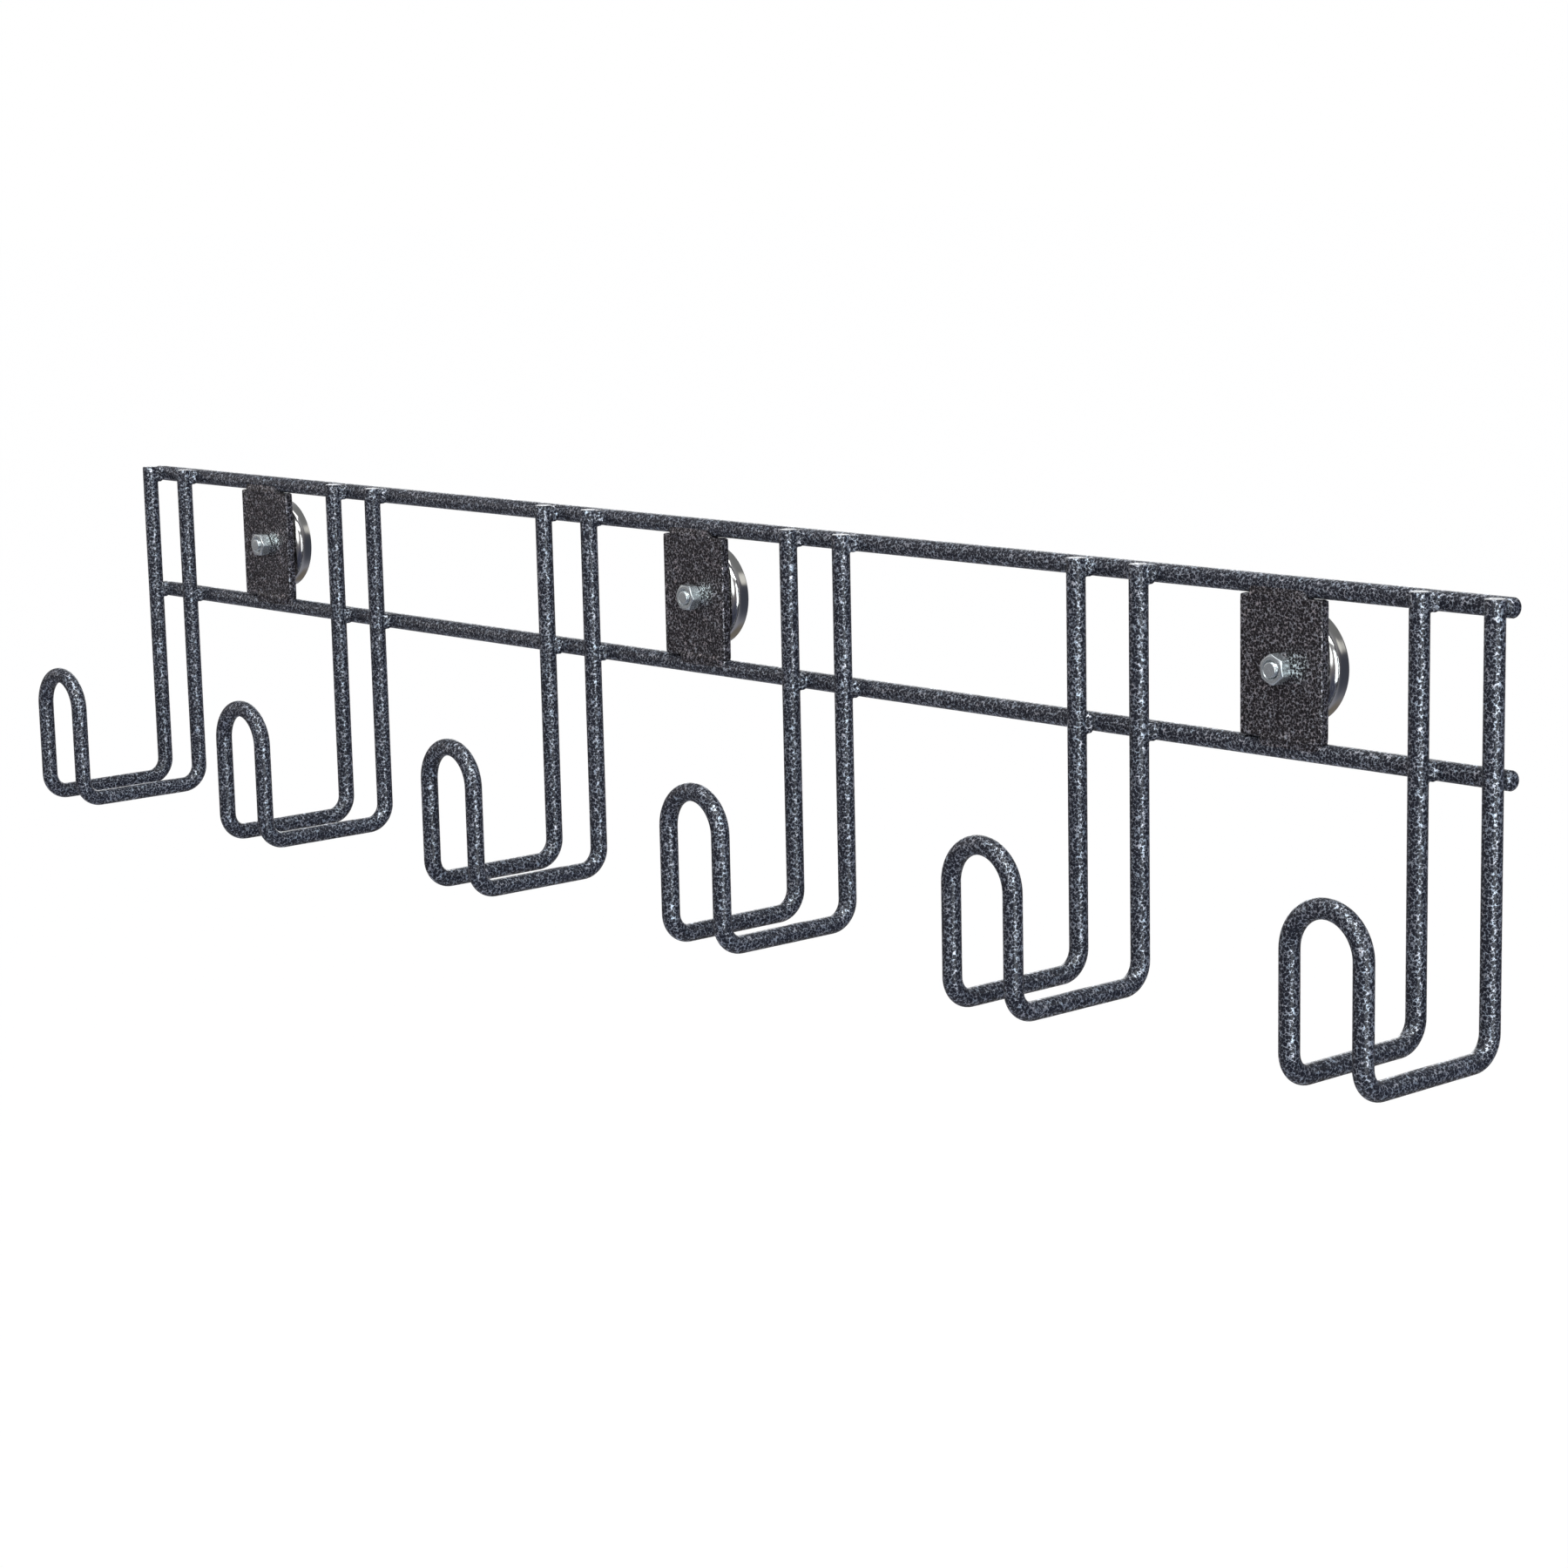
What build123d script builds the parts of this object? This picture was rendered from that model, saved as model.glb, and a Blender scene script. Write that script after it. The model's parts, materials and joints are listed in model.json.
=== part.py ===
from build123d import *
import os
from math import cos, radians

# Magnetic six-hook rod rack. Millimetres.
# Frame: origin on the wall plane at the centre of the centre magnet's pole face,
# +X to the right along the rails, +Y into the wall, +Z up. Everything stands at y < 0,
# so the front of a piece is its -Y side.

# ---- rods: rails and hooks ------------------------------------------------------------
ROD_D = 8.1            # 5/16 in rod with its powder coat
ROD_R = ROD_D / 2

RAIL_LENGTH = 932.0    # ends flush with the outer sides of the end legs
RAIL_SPACING = 64.7    # between the two rail axes
RAIL_Z = RAIL_SPACING / 2
RAIL_Y = -9.7          # rail axis; its front is level with the plates' front
RAIL_END_R = 1.2       # rounded cut ends

HOOK_COUNT = 6
HOOK_PITCH = 177.8     # 7 in
LEG_SPACING = 34.925   # 1-3/8 in between the two legs of a hook
HALF_LEG = LEG_SPACING / 2
LEG_SETDOWN = 0.3      # the welds draw each leg this far into the rails
LEG_Y = RAIL_Y - ROD_D + LEG_SETDOWN
LEG_TOP_Z = 36.3       # about level with the top of the upper rail
LEG_TOP_CHAMFER = 0.4
FLOOR_Z = -137.7       # axis of the hook's floor runs
FRONT_Y = -91.3        # axis of the front uprights
ARCH_Z = -88.3         # centre of the arch that joins the front uprights
BEND_R = 10.2          # centreline radius of the bottom bends

HOOK_X = [HOOK_PITCH * (i - (HOOK_COUNT - 1) / 2) for i in range(HOOK_COUNT)]
LEG_X = [x + side * HALF_LEG for x in HOOK_X for side in (-1, 1)]

# ---- magnet stations ------------------------------------------------------------------
BOLT_HOLE_D = 6.9      # through plate and cup

CUP_D = 47.4
CUP_T = 9.0
CUP_WALL = 1.5
CUP_CORNER_R = 3.1     # outside radius of the drawn shoulder
CUP_RIM_CHAMFER = 0.3
CUP_FLOOR_Y = -CUP_T + CUP_WALL  # inside of the cup's floor

PLATE_W = 42.0
PLATE_H = 56.0         # a narrow gap to each rail, bridged by the weld seams
PLATE_T = 4.76         # 3/16 in
PLATE_BACK_Y = -CUP_T  # the plates lie against the magnet cups
PLATE_FRONT_Y = PLATE_BACK_Y - PLATE_T
PLATE_CORNER_R = 0.8
PLATE_CHAMFER = 0.3

RING_OD = 44.0
RING_ID = 19.0
RING_RECESS = 0.25     # the ring sits just below the cup's rim
RING_EDGE_R = 1.7

BOLT_D = 6.35          # 1/4-20
BOLT_HEAD_D = 12.5
BOLT_HEAD_T = 4.0
BOLT_HEAD_EDGE_R = 1.8
BOLT_TIP_Y = -20.3
BOLT_TIP_CHAMFER = 0.6
RECESS_SPAN = 6.2      # cross recess in the head
RECESS_SLOT = 1.5
RECESS_DEPTH = 2.2

NUT_AF = 11.11         # 7/16 in across flats
NUT_T = 5.56
NUT_BEVEL = 0.5        # depth of the bevel on the corners
NUT_BEVEL_MARGIN = 0.1 # the bevel runs from this far inside the flats to outside the corners

# x of each station, and its nut's turn in degrees from a corner pointing along +X
STATION_X = 2 * HOOK_PITCH
STATIONS = {
    "left": (-STATION_X, 0.0),
    "centre": (0.0, 4.0),
    "right": (STATION_X, 24.0),
}

# ---- welds ----------------------------------------------------------------------------
BEAD_R = 2.2           # crossing beads, one each side of a leg
BEAD_HALF = 4.3        # half the bead's length
BEAD_X = ROD_R + 0.1   # bead axis, just beside the leg's side
BEAD_Y = RAIL_Y - ROD_R - 0.3  # and just in front of the rail

SEAM_R = 2.0           # seams between plate and rails
SEAM_TOP = (4.0, 34.0)      # start and end, from the plate's left edge
SEAM_BOTTOM = (10.0, 41.0)
SEAM_Y = PLATE_FRONT_Y + 1.5
SEAM_Z = PLATE_H / 2 + 0.7
SEAM_CUT_BEHIND = 5.0  # the plate-shaped cutter reaches this far behind the plate

CUT_LENGTH = 80.0      # cutters run well past what they cut
ARC_MID = 1 - cos(radians(45))  # midpoint of a quarter arc from its tangents, per radius


def save(part, name):
    part.label = name
    export_step(part, f"parts/{name}.step")


def save_copy(blank, name, x, turn=0.0):
    """Save a copy moved to x and turned about Y."""
    with BuildPart() as copy:
        with Locations(Location((x, 0, 0), (0, turn, 0))):
            add(blank)
    save(copy.part, name)


def build_rail(z):
    with BuildPart() as rail:
        with BuildSketch(Plane.YZ.offset(-RAIL_LENGTH / 2)):
            with Locations((RAIL_Y, z)):
                Circle(ROD_R)
        extrude(amount=RAIL_LENGTH)
        fillet(rail.edges().filter_by(GeomType.CIRCLE), RAIL_END_R)
    return rail.part


def build_hook():
    """One bent rod: two back legs, two floor runs and an arched front."""
    bend_mid = BEND_R * ARC_MID
    # (y, z) down a back leg, along the floor and up the front
    side = [
        (LEG_Y, LEG_TOP_Z),
        (LEG_Y, FLOOR_Z + BEND_R),
        (LEG_Y - bend_mid, FLOOR_Z + bend_mid),
        (LEG_Y - BEND_R, FLOOR_Z),
        (FRONT_Y + BEND_R, FLOOR_Z),
        (FRONT_Y + bend_mid, FLOOR_Z + bend_mid),
        (FRONT_Y, FLOOR_Z + BEND_R),
        (FRONT_Y, ARCH_Z),
    ]
    points = [(-HALF_LEG, y, z) for y, z in side]
    points.append((0, FRONT_Y, ARCH_Z + HALF_LEG))
    points += [(HALF_LEG, y, z) for y, z in reversed(side)]

    with BuildPart() as hook:
        with BuildLine() as path:
            # a straight and then an arc, five times, and the last straight
            for i in range(0, 15, 3):
                Line(points[i], points[i + 1])
                ThreePointArc(*points[i + 1:i + 4])
            Line(*points[-2:])
        with BuildSketch(Plane(origin=points[0], x_dir=(1, 0, 0), z_dir=(0, 0, -1))):
            Circle(ROD_R)
        sweep(path=path.wire())
        # the sawn tops of the two back legs
        leg_tops = hook.faces().filter_by(Axis.Z).sort_by(Axis.Z)[-2:]
        chamfer(leg_tops.edges(), LEG_TOP_CHAMFER)
        # shallow saddles where the legs are drawn into the rails
        with Locations((0, RAIL_Y, RAIL_Z), (0, RAIL_Y, -RAIL_Z)):
            Cylinder(ROD_R, CUT_LENGTH, rotation=(0, 90, 0), mode=Mode.SUBTRACT)
    return hook.part


def build_bead():
    """Round-ended upright bead on the right of a leg, where it crosses a rail at z = 0."""
    end_z = BEAD_HALF - BEAD_R
    with BuildPart() as bead:
        with Locations((BEAD_X, BEAD_Y, 0)):
            Cylinder(BEAD_R, 2 * end_z)
        with Locations((BEAD_X, BEAD_Y, end_z), (BEAD_X, BEAD_Y, -end_z)):
            Sphere(BEAD_R)
        with Locations((0, LEG_Y, 0)):
            Cylinder(ROD_R, CUT_LENGTH, mode=Mode.SUBTRACT)
        with Locations((0, RAIL_Y, 0)):
            Cylinder(ROD_R, CUT_LENGTH, rotation=(0, 90, 0), mode=Mode.SUBTRACT)
    return bead.part


def build_hook_welds(bead_right, bead_left, z):
    """All beads on one rail; the outer sides of the end legs have none."""
    with BuildPart() as welds:
        with Locations(*[(x, 0, z) for x in LEG_X[:-1]]):
            add(bead_right)
        with Locations(*[(x, 0, z) for x in LEG_X[1:]]):
            add(bead_left)
    return welds.part


def build_seam_pair():
    """The seams above and below one plate."""
    with BuildPart() as seams:
        for (start, end), z in ((SEAM_TOP, SEAM_Z), (SEAM_BOTTOM, -SEAM_Z)):
            left = start - PLATE_W / 2
            right = end - PLATE_W / 2
            with Locations(((left + right) / 2, SEAM_Y, z)):
                Cylinder(SEAM_R, right - left - 2 * SEAM_R, rotation=(0, 90, 0))
            with Locations((left + SEAM_R, SEAM_Y, z), (right - SEAM_R, SEAM_Y, z)):
                Sphere(SEAM_R)
        with Locations((0, RAIL_Y, RAIL_Z), (0, RAIL_Y, -RAIL_Z)):
            Cylinder(ROD_R, CUT_LENGTH, rotation=(0, 90, 0), mode=Mode.SUBTRACT)
        # clear the plate: within its height the seams only stand in front of it
        with Locations((0, PLATE_BACK_Y + (SEAM_CUT_BEHIND - PLATE_T) / 2, 0)):
            Box(CUT_LENGTH, PLATE_T + SEAM_CUT_BEHIND, PLATE_H, mode=Mode.SUBTRACT)
    return seams.part


def build_plate_welds():
    seam_pair = build_seam_pair()
    with BuildPart() as welds:
        with Locations(*[(x, 0, 0) for x, _ in STATIONS.values()]):
            add(seam_pair)
    return welds.part


def build_plate():
    with BuildPart() as plate:
        with BuildSketch(Plane.XZ.offset(-PLATE_BACK_Y)):
            RectangleRounded(PLATE_W, PLATE_H, PLATE_CORNER_R)
            Circle(BOLT_HOLE_D / 2, mode=Mode.SUBTRACT)
        extrude(amount=PLATE_T)
        outer = plate.faces().filter_by(Axis.Y).sort_by(Axis.Y)
        rims = outer[0].outer_wire().edges() + outer[-1].outer_wire().edges()
        chamfer(rims, PLATE_CHAMFER)
    return plate.part


def build_cup():
    """Drawn cup, open towards the wall, revolved from its half section."""
    hole_r = BOLT_HOLE_D / 2
    outer_r = CUP_D / 2
    inner_r = outer_r - CUP_WALL
    shoulder_r = outer_r - CUP_CORNER_R  # both shoulder arcs are centred here
    shoulder_y = -CUP_T + CUP_CORNER_R
    outer_mid = CUP_CORNER_R * ARC_MID
    inner_mid = (CUP_CORNER_R - CUP_WALL) * ARC_MID
    with BuildPart() as cup:
        with BuildSketch(Plane.XY):
            with BuildLine():
                Line((hole_r, -CUP_T), (shoulder_r, -CUP_T))
                ThreePointArc(
                    (shoulder_r, -CUP_T),
                    (outer_r - outer_mid, -CUP_T + outer_mid),
                    (outer_r, shoulder_y),
                )
                Line((outer_r, shoulder_y), (outer_r, -CUP_RIM_CHAMFER))
                Line((outer_r, -CUP_RIM_CHAMFER), (outer_r - CUP_RIM_CHAMFER, 0))
                Line((outer_r - CUP_RIM_CHAMFER, 0), (inner_r, 0))
                Line((inner_r, 0), (inner_r, shoulder_y))
                ThreePointArc(
                    (inner_r, shoulder_y),
                    (inner_r - inner_mid, CUP_FLOOR_Y + inner_mid),
                    (shoulder_r, CUP_FLOOR_Y),
                )
                Line((shoulder_r, CUP_FLOOR_Y), (hole_r, CUP_FLOOR_Y))
                Line((hole_r, CUP_FLOOR_Y), (hole_r, -CUP_T))
            make_face()
        revolve(axis=Axis.Y, revolution_arc=360)
    return cup.part


def build_ring():
    """Ferrite ring, its rounded front edge on the cup's floor."""
    with BuildPart() as ring:
        with BuildSketch(Plane.XZ.offset(RING_RECESS)):
            Circle(RING_OD / 2)
            Circle(RING_ID / 2, mode=Mode.SUBTRACT)
        extrude(amount=CUP_T - CUP_WALL - RING_RECESS)
        front = ring.faces().filter_by(Axis.Y).sort_by(Axis.Y)[0]
        fillet(front.outer_wire().edges(), RING_EDGE_R)
    return ring.part


def build_bolt():
    """Bolt with its head on the cup's floor and its tip to the front."""
    head_top = Plane.XZ.offset(-CUP_FLOOR_Y - BOLT_HEAD_T)
    with BuildPart() as bolt:
        with BuildSketch(head_top):
            Circle(BOLT_HEAD_D / 2)
        extrude(amount=BOLT_HEAD_T)
        fillet(bolt.faces().sort_by(Axis.Y)[-1].edges(), BOLT_HEAD_EDGE_R)
        with BuildSketch(Plane.XZ.offset(-CUP_FLOOR_Y)):
            Circle(BOLT_D / 2)
        extrude(amount=CUP_FLOOR_Y - BOLT_TIP_Y)
        chamfer(bolt.faces().sort_by(Axis.Y)[0].edges(), BOLT_TIP_CHAMFER)
        # cross recess in the head
        with BuildSketch(head_top):
            Rectangle(RECESS_SPAN, RECESS_SLOT)
            Rectangle(RECESS_SLOT, RECESS_SPAN)
        extrude(amount=RECESS_DEPTH, mode=Mode.SUBTRACT)
    return bolt.part


def build_nut():
    """Hexagon nut against the plate's front, its corners bevelled by a turned profile."""
    bevel_r = NUT_AF / 2 - NUT_BEVEL_MARGIN
    rim_r = NUT_AF / 3**0.5 + NUT_BEVEL_MARGIN
    front_y = PLATE_FRONT_Y - NUT_T
    with BuildPart() as nut:
        with BuildSketch(Plane.XZ.offset(-PLATE_FRONT_Y)):
            RegularPolygon(NUT_AF / 2, 6, major_radius=False, rotation=0)
        extrude(amount=NUT_T)
        with BuildSketch(Plane.XY):
            with BuildLine():
                Polyline(
                    (0, PLATE_FRONT_Y),
                    (bevel_r, PLATE_FRONT_Y),
                    (rim_r, PLATE_FRONT_Y - NUT_BEVEL),
                    (rim_r, front_y + NUT_BEVEL),
                    (bevel_r, front_y),
                    (0, front_y),
                    (0, PLATE_FRONT_Y),
                )
            make_face()
        revolve(axis=Axis.Y, revolution_arc=360, mode=Mode.INTERSECT)
        with Locations((0, PLATE_FRONT_Y - NUT_T / 2, 0)):
            Cylinder(BOLT_D / 2, NUT_T * 2, rotation=(90, 0, 0), mode=Mode.SUBTRACT)
    return nut.part


# ---- build and export -----------------------------------------------------------------
os.makedirs("parts", exist_ok=True)

bead_right = build_bead()
bead_left = mirror(bead_right, about=Plane.YZ)
for level, z in (("upper", RAIL_Z), ("lower", -RAIL_Z)):
    save(build_rail(z), f"{level}_rail")
    save(build_hook_welds(bead_right, bead_left, z), f"hook_welds_{level}")

hook_blank = build_hook()
for number, x in enumerate(HOOK_X, start=1):
    save_copy(hook_blank, f"hook_{number}", x)

save(build_plate_welds(), "plate_welds")

plate_blank = build_plate()
cup_blank = build_cup()
ring_blank = build_ring()
bolt_blank = build_bolt()
nut_blank = build_nut()
for station, (x, nut_turn) in STATIONS.items():
    save_copy(plate_blank, f"magnet_plate_{station}", x)
    save_copy(cup_blank, f"magnet_cup_{station}", x)
    save_copy(ring_blank, f"magnet_ring_{station}", x)
    save_copy(bolt_blank, f"bolt_{station}", x)
    save_copy(nut_blank, f"nut_{station}", x, turn=nut_turn)
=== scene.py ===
import json
import math

import bmesh
import bpy
import numpy as np
from mathutils import Matrix, Vector

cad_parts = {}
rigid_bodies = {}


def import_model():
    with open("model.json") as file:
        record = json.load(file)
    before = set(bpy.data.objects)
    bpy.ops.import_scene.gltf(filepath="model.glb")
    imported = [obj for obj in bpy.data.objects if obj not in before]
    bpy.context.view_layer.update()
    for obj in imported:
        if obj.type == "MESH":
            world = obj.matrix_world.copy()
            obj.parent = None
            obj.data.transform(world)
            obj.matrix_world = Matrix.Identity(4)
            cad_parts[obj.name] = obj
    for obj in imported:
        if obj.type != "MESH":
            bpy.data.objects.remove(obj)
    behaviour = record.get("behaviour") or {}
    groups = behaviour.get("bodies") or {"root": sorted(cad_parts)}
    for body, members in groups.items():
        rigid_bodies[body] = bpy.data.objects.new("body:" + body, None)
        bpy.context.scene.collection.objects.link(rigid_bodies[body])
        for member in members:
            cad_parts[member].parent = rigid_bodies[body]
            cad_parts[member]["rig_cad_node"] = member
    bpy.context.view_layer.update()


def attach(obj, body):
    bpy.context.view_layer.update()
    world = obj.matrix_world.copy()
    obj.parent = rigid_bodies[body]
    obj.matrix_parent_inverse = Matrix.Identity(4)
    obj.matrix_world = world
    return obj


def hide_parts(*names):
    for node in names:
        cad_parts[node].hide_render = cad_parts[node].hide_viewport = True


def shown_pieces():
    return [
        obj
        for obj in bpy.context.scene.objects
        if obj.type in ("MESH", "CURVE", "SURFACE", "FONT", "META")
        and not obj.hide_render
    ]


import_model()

# ---- dimensions, mm -----------------------------------------------------------------------
MM = 0.001

ROD_R = 4.05
RAIL_HALF = 466.0
RAIL_Y = -9.7
RAIL_Z = 32.35  # rail axes lie at plus and minus this height
LEG_Y = -17.5
LEG_TOP = 36.3
HOOK_BOTTOM = -137.7
HOOK_FRONT = -91.3
ARCH_Z = -88.3  # centre of the half circle that joins the two upturned rods
BEND_R = 10.2
HOOK_PITCH = 177.8
LEG_OFFSET = 34.925 / 2  # from a hook's middle to each of its legs
HOOK_X = [HOOK_PITCH * (i - 2.5) for i in range(6)]
LEG_X = [x + side * LEG_OFFSET for x in HOOK_X for side in (-1, 1)]
STATIONS = {"left": -2 * HOOK_PITCH, "centre": 0.0, "right": 2 * HOOK_PITCH}

BOLT_HOLE_R = 3.45
CUP_R, CUP_DEPTH, CUP_WALL = 23.7, 9.0, 1.5
CUP_FRONT = -CUP_DEPTH
CUP_FLOOR = CUP_FRONT + CUP_WALL  # inner face of the cup's floor
SHOULDER_WIDTH, SHOULDER_DEPTH = 6.6, 4.7
RING_OUTER_R, RING_INNER_R, RING_RECESS = 22.0, 9.5, 0.25

PLATE_W, PLATE_H, PLATE_T = 42.0, 56.5, 4.76
PLATE_BACK = CUP_FRONT
PLATE_FRONT = PLATE_BACK - PLATE_T
PLATE_MIDDLE = (PLATE_FRONT + PLATE_BACK) / 2

BOLT_R, BOLT_TIP, THREAD_START = 3.175, -20.3, -8.2
THREAD_PITCH, THREAD_DEPTH = 1.27, 0.62
HEAD_R, HEAD_T = 6.25, 4.0
NUT_HALF_FLATS, NUT_T = 11.11 / 2, 5.56
NUT_TURN = {"left": 0.0, "centre": 4.0, "right": 24.0}  # degrees

RIGHT, BACK, UP = np.eye(3)


# ---- node trees ---------------------------------------------------------------------------
class Tree:
    """Short-hand for building the node tree of a material or a world."""

    def __init__(self, owner, output="ShaderNodeOutputMaterial"):
        self.owner = owner
        owner.use_nodes = True
        self.nodes = owner.node_tree.nodes
        self.links = owner.node_tree.links
        self.nodes.clear()
        self.output = self.add(output)

    def add(self, kind, inputs=None, **properties):
        """A new node; an input may be a value, a socket, or a node (its first output)."""
        node = self.nodes.new(kind)
        for key, value in properties.items():
            setattr(node, key, value)
        for key, value in (inputs or {}).items():
            if isinstance(value, bpy.types.Node):
                value = value.outputs[0]
            if isinstance(value, bpy.types.NodeSocket):
                self.links.new(value, node.inputs[key])
            else:
                node.inputs[key].default_value = value
        return node

    def math(self, op, a, b, c=None):
        inputs = {0: a, 1: b} if c is None else {0: a, 1: b, 2: c}
        return self.add("ShaderNodeMath", inputs, operation=op).outputs[0]

    def plus_scaled(self, base, value, gain):
        """base + value * gain"""
        return self.math("MULTIPLY_ADD", value, gain, base)

    def sway(self, base, noise, amount):
        """Move base up and down by noise centred on one half."""
        return self.plus_scaled(base, self.math("SUBTRACT", noise, 0.5), gain=amount)

    def vmath(self, op, a, b=(0, 0, 0)):
        node = self.add("ShaderNodeVectorMath", {0: a, 1: b}, operation=op)
        return node.outputs["Value" if op in ("LENGTH", "DOT_PRODUCT") else 0]

    def scaled(self, vector, scale):
        inputs = {0: vector, 1: (0, 0, 0), "Scale": scale}
        return self.add("ShaderNodeVectorMath", inputs, operation="SCALE").outputs[0]

    def ramp(self, value, start, end, low=0.0, high=1.0):
        """Smooth step from low at start to high at end."""
        inputs = {
            "Value": value,
            "From Min": start,
            "From Max": end,
            "To Min": low,
            "To Max": high,
        }
        return self.add("ShaderNodeMapRange", inputs, interpolation_type="SMOOTHSTEP").outputs[0]

    def mix(self, factor, a, b):
        # inputs 6 and 7 are the colour pair, output 2 the mixed colour
        return self.add("ShaderNodeMix", {0: factor, 6: a, 7: b}, data_type="RGBA").outputs[2]

    def mix_value(self, factor, a, b):
        return self.add("ShaderNodeMix", {0: factor, 2: a, 3: b}, data_type="FLOAT").outputs[0]

    def noise(self, point, scale, detail=2.0, rough=0.5, colour=False):
        inputs = {"Vector": point, "Scale": scale, "Detail": detail, "Roughness": rough}
        return self.add("ShaderNodeTexNoise", inputs).outputs[1 if colour else 0]

    def bump(self, height, strength, distance):
        inputs = {"Strength": strength, "Distance": distance, "Height": height}
        return self.add("ShaderNodeBump", inputs)

    def point_mm(self):
        """The point on the piece in millimetres, row frame."""
        return self.scaled(self.add("ShaderNodeTexCoord").outputs["Object"], scale=1000.0)

    def finish(self, shader):
        self.links.new(shader.outputs[0], self.output.inputs[0])
        return self.owner


# ---- materials ----------------------------------------------------------------------------
def new_material(name):
    return Tree(bpy.data.materials.new(name))


def tinted(colour, red, green, blue):
    """The colour with each channel multiplied by its own gain."""
    return (colour[0] * red, colour[1] * green, colour[2] * blue, 1)


def silver_vein(name, cell, vein, cell_size, painted_glints=()):
    """Powder coat: a fine web of metallic veins between small dark cells.

    cell_size is in mm; each painted glint is the x, z centre and the x, z radii of a patch of veins
    painted bright, standing in for reflected light.
    """
    t = new_material(name)
    point = t.point_mm()

    # cell pattern on warped coordinates
    warp = t.noise(point, scale=0.62, detail=3.0, rough=0.6, colour=True)
    warp = t.vmath("SUBTRACT", warp, (0.5, 0.5, 0.5))
    warped = t.vmath("ADD", point, t.scaled(warp, scale=2.4))
    inputs = {"Vector": warped, "Scale": 1.0 / cell_size, "Randomness": 1.0}
    nearest, second = [
        t.add("ShaderNodeTexVoronoi", inputs, feature=feature, distance="EUCLIDEAN").outputs[
            "Distance"
        ]
        for feature in ("F1", "F2")
    ]
    # high on the walls between cells, highest where several meet
    web = t.math("SUBTRACT", t.math("MULTIPLY", nearest, 0.55), t.math("SUBTRACT", second, nearest))
    fine = t.noise(point, scale=2.2, rough=0.6)
    patchy = t.noise(point, scale=0.55, rough=0.6)
    web = t.sway(web, fine, amount=0.34)
    web = t.sway(web, patchy, amount=0.30)
    vein_level = 0.275
    over = t.math("SUBTRACT", web, vein_level)
    vein_mask = t.ramp(over, start=-0.07, end=0.09)
    vein_core = t.ramp(over, start=0.02, end=0.26)

    # colours
    flake = t.noise(point, scale=1.3, detail=1.0)
    hue = t.noise(point, scale=0.30, rough=0.6)
    warm = tinted(vein, red=1.08, green=0.96, blue=0.92)
    cool = tinted(vein, red=0.90, green=1.02, blue=1.08)
    bright = t.mix(t.ramp(hue, start=0.38, end=0.62), warm, cool)
    vein_edge = tinted(vein, red=0.55, green=0.55, blue=0.55)
    vein_colour = t.mix(vein_core, vein_edge, bright)
    # painted reflection: veins beside a nut are coloured bright, standing in for the light the nut
    # throws back onto them
    painted_glint_strength, painted_glint_colour = 0.62, (0.90, 1.0, 1.0, 1)
    for glint_x, glint_z, radius_x, radius_z in painted_glints:
        offset = t.vmath("SUBTRACT", point, (glint_x, 0, glint_z))
        offset = t.vmath("MULTIPLY", offset, (1 / radius_x, 0, 1 / radius_z))
        distance = t.sway(t.vmath("LENGTH", offset), patchy, amount=1.6)
        near = t.ramp(distance, start=1.1, end=0.5)
        strength = t.math("MULTIPLY", near, painted_glint_strength)
        vein_colour = t.mix(strength, vein_colour, painted_glint_colour)
    tint = t.noise(point, scale=0.35, detail=1.0)
    cell_colour = t.mix(tint, cell, tinted(cell, red=1.9, green=1.6, blue=1.5))

    # relief: the cells stand up as soft domes, the veins lie between, over faint orange peel
    dome = t.math("SUBTRACT", 1.0, t.ramp(over, start=-0.45, end=0.10))
    peel = t.noise(point, scale=0.42)
    grain = t.noise(point, scale=9.0, detail=1.0, rough=0.6)
    height = t.plus_scaled(dome, peel, gain=1.4)
    height = t.plus_scaled(height, flake, gain=0.9)
    height = t.plus_scaled(height, t.math("MULTIPLY", grain, vein_mask), gain=0.20)
    coat_height = t.plus_scaled(peel, dome, gain=0.35)

    metal_share, cell_rough = 0.92, 0.45
    vein_rough = t.mix_value(grain, 0.32, 0.50)
    surface = {
        "Base Color": t.mix(vein_mask, cell_colour, vein_colour),
        "Metallic": t.math("MULTIPLY", vein_mask, metal_share),
        "Roughness": t.mix_value(vein_mask, cell_rough, vein_rough),
        "Specular IOR Level": 0.16,
        "Coat Weight": 0.30,
        "Coat Roughness": t.ramp(peel, start=0.3, end=0.7, low=0.05, high=0.13),
        "Coat Normal": t.bump(coat_height, strength=0.35, distance=0.00009),
        "Normal": t.bump(height, strength=0.75, distance=0.00014),
    }
    return t.finish(t.add("ShaderNodeBsdfPrincipled", surface))


def plated(name, colour, rough, wear, metal, bump_strength):
    """Bright plated steel with faint marks and handling haze."""
    t = new_material(name)
    point = t.point_mm()
    cloud = t.noise(point, scale=0.16, detail=3.0, rough=0.6)
    speck = t.noise(point, scale=3.2, detail=3.0, rough=0.7)
    fine = t.noise(point, scale=11.0, rough=0.6)
    spots = t.ramp(speck, start=0.60, end=0.74)
    dark = tinted(colour, red=0.72, green=0.72, blue=0.74)
    cloud_tint, spot_tint, spot_rough = 0.45, 0.25, 0.10
    base = t.mix(t.math("MULTIPLY", cloud, cloud_tint), colour, dark)
    base = t.mix(t.math("MULTIPLY", spots, spot_tint), base, dark)
    haze = t.plus_scaled(rough, cloud, gain=wear)
    height = t.plus_scaled(cloud, fine, gain=0.4)
    surface = {
        "Base Color": base,
        "Metallic": metal,
        "Roughness": t.plus_scaled(haze, spots, gain=spot_rough),
        "Normal": t.bump(height, strength=bump_strength, distance=0.00002),
    }
    return t.finish(t.add("ShaderNodeBsdfPrincipled", surface))


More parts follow.
